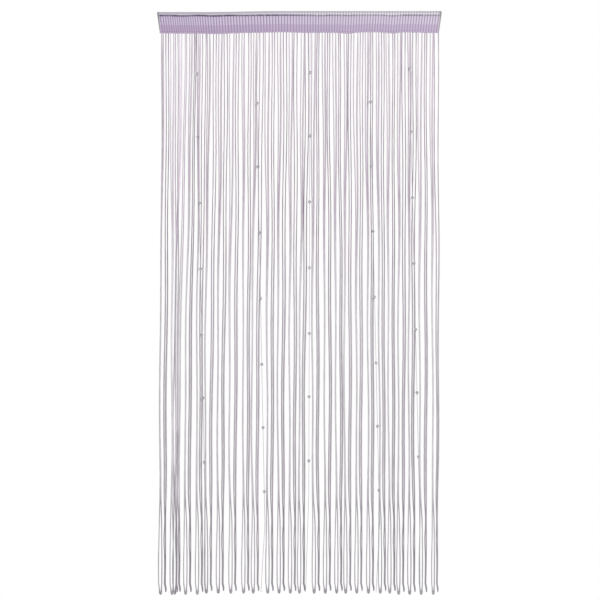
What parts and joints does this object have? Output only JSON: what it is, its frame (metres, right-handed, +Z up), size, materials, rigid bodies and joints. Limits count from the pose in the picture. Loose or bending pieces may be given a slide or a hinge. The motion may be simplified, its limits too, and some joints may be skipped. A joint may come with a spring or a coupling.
{
  "type": "string curtain with beads",
  "caption": "Hanging curtain of looped yarns on a ribbed heading cloth with a rolled hem, with clear faceted beads on thin threads in front.",
  "frame": {"origin": "middle of the heading's top edge, on the line the curtain hangs from", "axes": "+X across the curtain to the right as seen from the front, +Z up, the front faces -Y"},
  "size_m": [0.975, 0.0284, 1.9998],
  "materials": {
    "heading_cloth": "ribbed lilac knit",
    "lilac_yarn": "soft twisted yarn",
    "clear_acrylic": "clear, faceted and polished"
  },
  "bodies": {
    "root": {"heading": "heading_cloth", "strand_fringe": "lilac_yarn", "bead_1_1": "clear_acrylic", "bead_1_2": "clear_acrylic", "bead_1_3": "clear_acrylic", "bead_1_4": "clear_acrylic", "bead_1_5": "clear_acrylic", "bead_1_6": "clear_acrylic", "bead_1_7": "clear_acrylic", "bead_2_1": "clear_acrylic", "bead_2_2": "clear_acrylic", "bead_2_3": "clear_acrylic", "bead_2_4": "clear_acrylic", "bead_2_5": "clear_acrylic", "bead_2_6": "clear_acrylic", "bead_2_7": "clear_acrylic", "bead_3_1": "clear_acrylic", "bead_3_2": "clear_acrylic", "bead_3_3": "clear_acrylic", "bead_3_4": "clear_acrylic", "bead_3_5": "clear_acrylic", "bead_3_6": "clear_acrylic", "bead_3_7": "clear_acrylic", "bead_4_1": "clear_acrylic", "bead_4_2": "clear_acrylic", "bead_4_3": "clear_acrylic", "bead_4_4": "clear_acrylic", "bead_4_5": "clear_acrylic", "bead_4_6": "clear_acrylic", "bead_4_7": "clear_acrylic", "bead_5_1": "clear_acrylic", "bead_5_2": "clear_acrylic", "bead_5_3": "clear_acrylic", "bead_5_4": "clear_acrylic", "bead_5_5": "clear_acrylic", "bead_5_6": "clear_acrylic", "bead_5_7": "clear_acrylic"}
  },
  "joints": []
}
